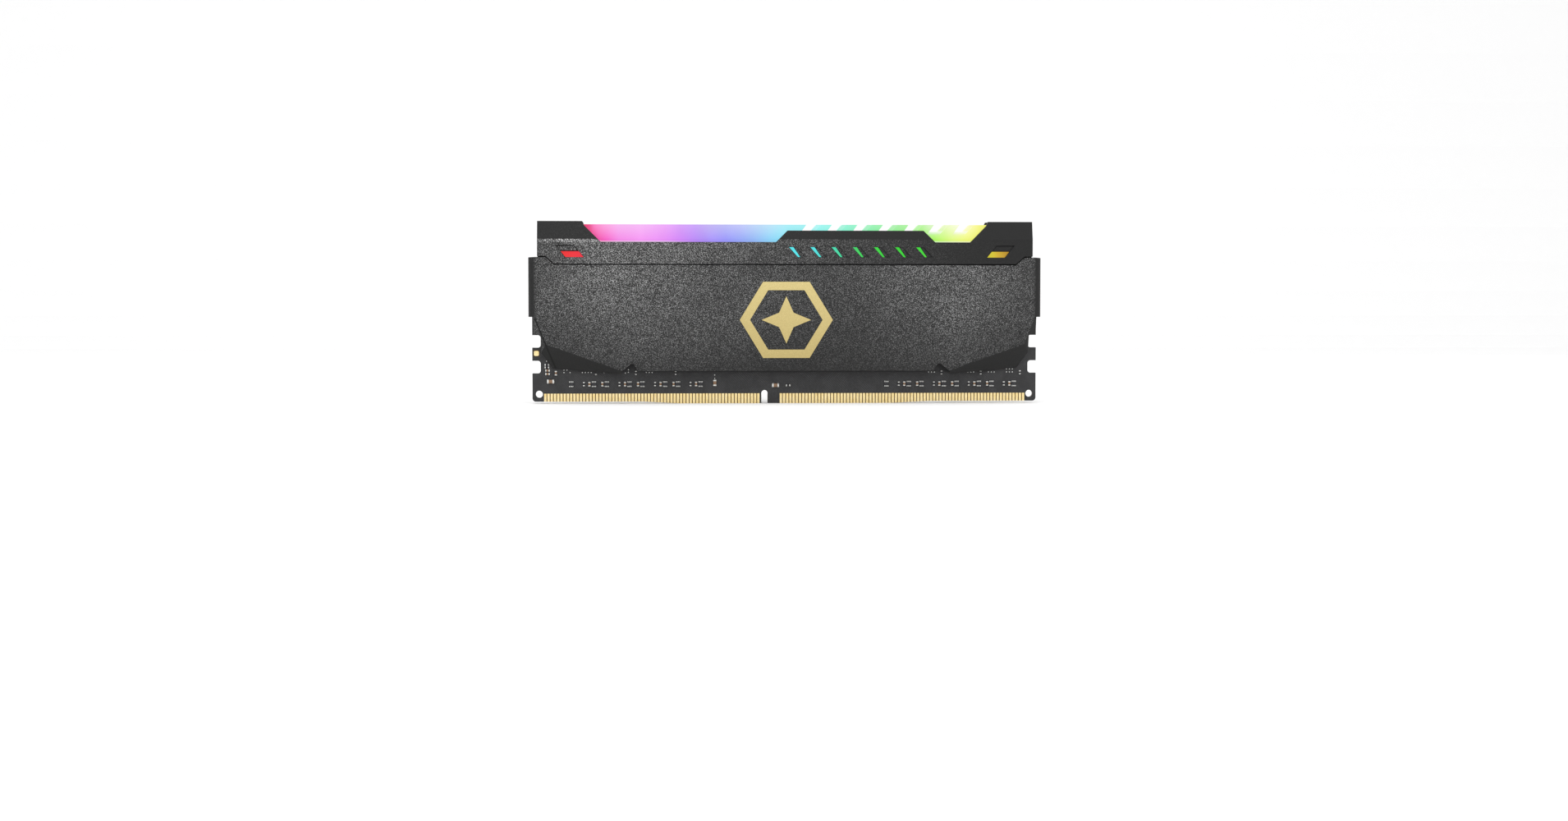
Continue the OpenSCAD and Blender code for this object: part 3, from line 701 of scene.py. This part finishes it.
def part_boxes(node):
    """The lowest and highest corner of each separate solid in a CAD node."""
    bm = bmesh.new()
    bm.from_mesh(NODES[node].data)
    bmesh.ops.remove_doubles(bm, verts=bm.verts, dist=WELD)
    unseen = set(bm.verts)
    boxes = []
    while unseen:
        stack = [unseen.pop()]
        island = []
        while stack:
            vertex = stack.pop()
            island.append(vertex.co.copy())
            for edge in vertex.link_edges:
                other = edge.other_vert(vertex)
                if other in unseen:
                    unseen.remove(other)
                    stack.append(other)
        low = Vector(min(c[i] for c in island) for i in range(3))
        high = Vector(max(c[i] for c in island) for i in range(3))
        boxes.append((low, high))
    bm.free()
    return sorted(boxes, key=lambda box: tuple(box[0]))


BOX_FACES = (
    (0, 1, 3, 2), (4, 6, 7, 5), (0, 4, 5, 1), (2, 3, 7, 6), (0, 2, 6, 4), (1, 5, 7, 3))


def add_box(bm, low, high, material=0):
    """A box between two corners; material is its place in the piece's list of materials."""
    corners = [
        bm.verts.new((x, y, z))
        for x in (low[0], high[0]) for y in (low[1], high[1]) for z in (low[2], high[2])
    ]
    for face in BOX_FACES:
        made = bm.faces.new([corners[i] for i in face])
        made.material_index = material


# The small parts: shares of their own size, and lengths in metres.
CAP_SHARE = 0.23                    # a tinned cap at each end of a capacitor or resistor
CAP_PROUD = 0.035 * MM              # the caps stand this far out from the body
SOLDER_REACH = 0.05 * MM            # the solder runs on past the cap
SOLDER_HEIGHT = 0.12 * MM
ARRAY_ENDS = 4                      # tinned ends along the top and the bottom of an array
END_SHARE = 0.21                    # their height, as a share of the array's
END_WIDTH = 0.6                     # their width, as a share of their pitch
END_PROUD = 0.02 * MM
BODY_INSET = 0.13                   # the array's body is shorter at both ends by this share
PART_EDGE = 0.04 * MM               # rounding of the edges
ARRAY_EDGE = 0.03 * MM


def two_terminal_parts(name, node, side, body):
    """Chip capacitors or resistors: a ceramic body between two tinned caps that sit on
    solder, standing on the board's face at each place the CAD node has a solid."""
    bm = bmesh.new()
    for low, high in part_boxes(node):
        size = high - low
        long_axis = 2 if size.z > size.x else 0
        wide_axis = 2 - long_axis
        cap = CAP_SHARE * size[long_axis]
        core_low, core_high = low.copy(), high.copy()
        core_low[long_axis] += 0.5 * cap
        core_high[long_axis] -= 0.5 * cap
        core_low[wide_axis] += CAP_PROUD
        core_high[wide_axis] -= CAP_PROUD
        if side < 0:
            core_low.y += CAP_PROUD
        else:
            core_high.y -= CAP_PROUD
        add_box(bm, core_low, core_high)
        for start, past_low, past_high in (
                (low[long_axis], SOLDER_REACH, 0.0),
                (high[long_axis] - cap, 0.0, SOLDER_REACH)):
            cap_low, cap_high = low.copy(), high.copy()
            cap_low[long_axis] = start
            cap_high[long_axis] = start + cap
            add_box(bm, cap_low, cap_high, 1)
            solder_low, solder_high = cap_low.copy(), cap_high.copy()
            solder_low[long_axis] -= past_low
            solder_high[long_axis] += past_high
            if side < 0:
                solder_low.y = high.y - SOLDER_HEIGHT
            else:
                solder_high.y = low.y + SOLDER_HEIGHT
            add_box(bm, solder_low, solder_high, 1)
    soften(add_piece(name, bm, [body, TIN], [node]), PART_EDGE, 2)


def array_parts(name, node, side, body):
    """Resistor arrays: a flat ceramic body with tinned ends along its top and bottom."""
    bm = bmesh.new()
    for low, high in part_boxes(node):
        size = high - low
        core_low, core_high = low.copy(), high.copy()
        core_low.z += BODY_INSET * size.z
        core_high.z -= BODY_INSET * size.z
        add_box(bm, core_low, core_high)
        near_y = low.y - (END_PROUD if side < 0 else 0)
        far_y = high.y + (END_PROUD if side > 0 else 0)
        pitch = size.x / ARRAY_ENDS
        for i in range(ARRAY_ENDS):
            left = low.x + (i + (1 - END_WIDTH) / 2) * pitch
            for foot in (low.z, high.z - END_SHARE * size.z):
                add_box(bm, (left, near_y, foot),
                        (left + END_WIDTH * pitch, far_y, foot + END_SHARE * size.z), 1)
    soften(add_piece(name, bm, [body, TIN], [node]), ARRAY_EDGE, 2)


DISC_SIDES = 10
DISC_TOP = 0.8                      # a disc is narrower at its top by this factor


def add_disc(bm, x, z, side, radius, height):
    """A small round pad on a face of the board."""
    face = side * BOARD_FACE
    turns = [2 * math.pi * k / DISC_SIDES for k in range(DISC_SIDES)]
    lower, upper = [
        [bm.verts.new((x + r * math.cos(turn), y, z + r * math.sin(turn))) for turn in turns]
        for y, r in ((face, radius), (face + side * height, DISC_TOP * radius))]
    for k in range(DISC_SIDES):
        other = (k + 1) % DISC_SIDES
        bm.faces.new((lower[k], lower[other], upper[other], upper[k]))
    bm.faces.new(upper)
    bm.faces.new(lower[::-1])


# Rows of test points as (x of the first, z, how many), their pitch, radius and height, all in
# millimetres.
TEST_POINTS = [
    (-58.4, 8.8, 2), (-58.4, 8.15, 1), (-56.8, 8.15, 1), (-53.6, 8.15, 4), (-47.9, 8.15, 3),
    (-42.3, 8.0, 1), (-41.5, 8.9, 1), (-41.5, 8.2, 1), (-36.8, 8.15, 3), (38.0, 8.15, 3),
    (48.5, 8.15, 3), (54.0, 8.15, 3), (58.85, 8.15, 3), (58.85, 8.95, 3), (-62.95, 11.15, 1),
    (-18.75, 7.45, 1), (-18.75, 6.55, 1),
]
TEST_PITCH = 0.78
TEST_RADIUS = 0.14
TEST_HEIGHT = 0.03


def test_points(name, side):
    """Rows of tiny tinned pads under the spreader's lower edge."""
    bm = bmesh.new()
    for start, z, count in TEST_POINTS:
        for k in range(count):
            add_disc(bm, (start + TEST_PITCH * k) * MM, z * MM, side,
                     TEST_RADIUS * MM, TEST_HEIGHT * MM)
    bmesh.ops.recalc_face_normals(bm, faces=bm.faces)
    add_piece(name, bm, [TIN])


# ---------------------------------------------------------------- stage, lights and camera

# Places and sizes in metres.
FLOOR_HALF_WIDTH = 8.0
FLOOR_FRONT, FLOOR_BACK = -8.0, 1.2
BACKDROP_TOP = 2.4
BACKDROP_TURN = 0.5          # radius of the curve between floor and backdrop
TURN_STEPS = 16


def add_stage():
    """A white floor that curves up into a backdrop well behind the module."""
    bm = bmesh.new()
    turn_start = FLOOR_BACK - BACKDROP_TURN
    profile = [(FLOOR_FRONT, 0.0), (turn_start, 0.0)]
    for k in range(1, TURN_STEPS + 1):
        angle = math.pi / 2 * k / TURN_STEPS
        profile.append((turn_start + BACKDROP_TURN * math.sin(angle),
                        BACKDROP_TURN - BACKDROP_TURN * math.cos(angle)))
    profile.append((FLOOR_BACK, BACKDROP_TOP))
    rows = [[bm.verts.new((x, y, z)) for x in (-FLOOR_HALF_WIDTH, FLOOR_HALF_WIDTH)]
            for y, z in profile]
    for a, b in zip(rows, rows[1:]):
        bm.faces.new((a[0], a[1], b[1], b[0]))
    mesh = bpy.data.meshes.new("studio_floor")
    bm.to_mesh(mesh)
    bm.free()
    floor = linked("studio_floor", mesh)
    s = Shade("studio_white")
    s.set(Base_Color=grey(0.93), Roughness=0.9, Specular_IOR_Level=0.1)
    floor.data.materials.append(s.material)


def turn_to(obj, place, direction):
    """Puts a lamp or a camera at a place and points it in a direction."""
    obj.location = place
    obj.rotation_mode = "QUATERNION"
    obj.rotation_quaternion = direction.to_track_quat("-Z", "Y")


def add_light(name, place, target, size, power):
    """A rectangular lamp at a place, turned to a target."""
    data = bpy.data.lights.new(name, "AREA")
    data.shape = "RECTANGLE"
    data.size, data.size_y = size
    data.energy = power
    turn_to(linked(name, data), place, Vector(target) - Vector(place))


def add_world():
    """Even white light from all round."""
    world = bpy.data.worlds.new("studio")
    world.use_nodes = True
    sky = world.node_tree.nodes["Background"]
    sky.inputs["Color"].default_value = grey(1.0)
    sky.inputs["Strength"].default_value = 0.95
    bpy.context.scene.world = world


CAMERA_PLACE = (-0.035, -0.5975, 0.0242)
CAMERA_YAW = math.radians(3.315)
CAMERA_PITCH = math.radians(-2.507)


def add_camera():
    """The photographed view: a little to the left of square on, from the module's own height."""
    level = math.cos(CAMERA_PITCH)
    ahead = Vector((
        math.sin(CAMERA_YAW) * level, math.cos(CAMERA_YAW) * level, math.sin(CAMERA_PITCH)))
    data = bpy.data.cameras.new("camera")
    data.sensor_width = 36.0
    data.lens = 51.9
    data.clip_start = 0.01
    data.clip_end = 20.0
    camera = linked("camera", data)
    turn_to(camera, CAMERA_PLACE, ahead)
    bpy.context.scene.camera = camera


# ---------------------------------------------------------------- the scene

add_camera()
add_world()
add_stage()
add_light("key_left", (-0.45, -0.75, 0.55), (-0.02, 0, 0.03), (0.5, 0.4), 1.8)
add_light("key_right", (0.5, -0.7, 0.5), (0.02, 0, 0.03), (0.4, 0.4), 1.0)
add_light("top", (0.0, -0.1, 0.9), (0, 0, 0), (0.9, 0.6), 2.6)
bpy.context.scene.view_settings.view_transform = "Standard"

TIN = tin()
PLATE_COAT = coat("plate_coat", PLATE_PAINTED_SHEEN, PLATE_SHEEN_RISE, off_the_fold_shadow)
FRAME_COAT = coat("frame_coat", FRAME_PAINTED_SHEEN, FRAME_SHEEN_RISE, off_the_recess_shade, GLINT)
CERAMIC = moulded("brown_ceramic", "6d5340", "8f7257", 0.35)
BLACK_GLAZE = moulded("black_glaze", "17171a", "2a2a2e", 0.25)
PACKAGE = moulded("moulding_compound", "1b1b1d", "262628", 0.5)
PAD = moulded("gap_pad", "7b838e", "98a0aa", 0.75, 3.0, 0.2)
TAPE = moulded("tape", "c4c4be", "dadad4", 0.6, 3.0)
GOLD = gold_plate()
GLOW = frosted_light()

rounded_copy("board", solder_mask(), 0.05 * MM)
paint(NODES["rear_label"], paper_label())
paint(NODES["fiducial_pad"], GOLD)
LED = led_lens()
for name, node in NODES.items():
    if name.startswith("edge_contacts"):
        paint(node, GOLD)
    elif name.startswith(("memory_chip", "config_memory", "light_controller")):
        paint(node, PACKAGE)
    elif name.startswith("colour_led"):
        paint(node, LED)
    elif name.startswith("thermal_pad"):
        paint(node, PAD)
    elif name.startswith("bar_tape"):
        paint(node, TAPE)
INK = gold_print()
for side_name, side in SIDES.items():
    paint(NODES["emblem_" + side_name], INK)
    rounded_copy("heat_spreader_" + side_name, PLATE_COAT, 0.1 * MM)
    rounded_copy("top_frame_" + side_name, FRAME_COAT, 0.08 * MM)
    two_terminal_parts("capacitor_parts_" + side_name, "capacitors_" + side_name, side,
                       CERAMIC)
    two_terminal_parts("resistor_parts_" + side_name, "resistors_" + side_name, side,
                       BLACK_GLAZE)
    array_parts("resistor_array_parts_" + side_name, "resistor_arrays_" + side_name, side,
                BLACK_GLAZE)
    test_points("test_points_" + side_name, side)
rounded_copy("light_bar", GLOW, 0.1 * MM)
